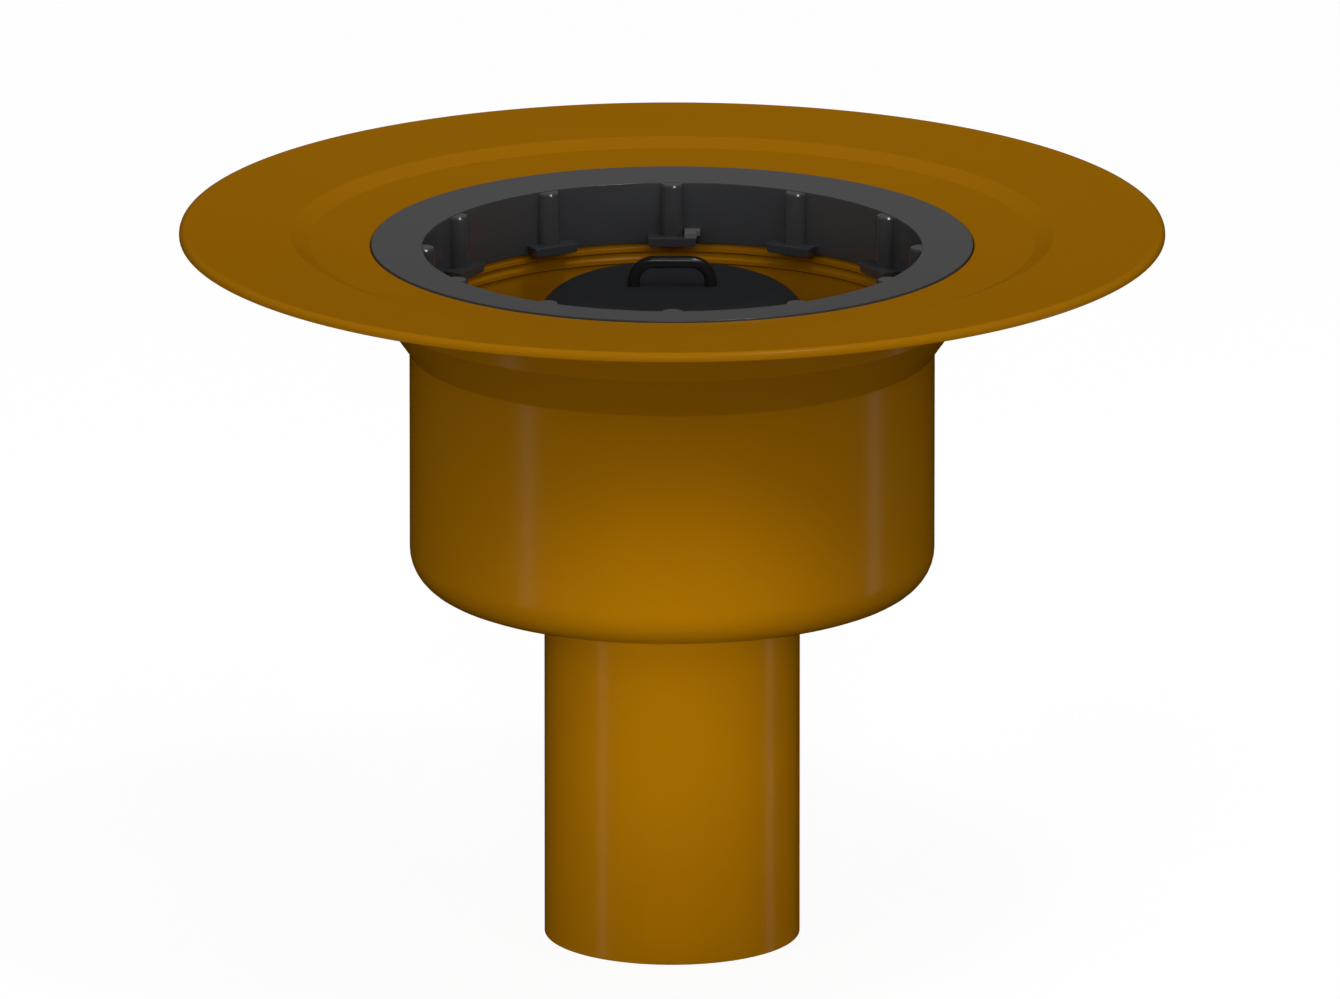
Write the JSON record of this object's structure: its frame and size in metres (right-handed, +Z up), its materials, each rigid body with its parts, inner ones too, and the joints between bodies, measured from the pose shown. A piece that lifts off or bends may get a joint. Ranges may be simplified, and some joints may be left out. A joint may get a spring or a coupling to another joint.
{
  "type": "floor drain body",
  "caption": "Round floor drain body with a wide sloped flange, a deep cup with a vertical pipe outlet, a ring with posts in its mouth and a lift-out domed bell trap.",
  "frame": {"origin": "centre of the outlet spigot's end face, which is the lowest plane", "axes": "+Z up the drain's axis, out of its mouth; +Y through one post of the ring; the bell's handle lies along X"},
  "size_m": [0.4235, 0.4234, 0.3144],
  "materials": {
    "ochre_plastic": "satin moulded",
    "black_plastic": "satin moulded",
    "black_bell": "fine matt moulded"
  },
  "bodies": {
    "root": {"drain_body": "ochre_plastic", "support_ring": "black_plastic", "trap_bell": "black_bell"}
  },
  "joints": []
}
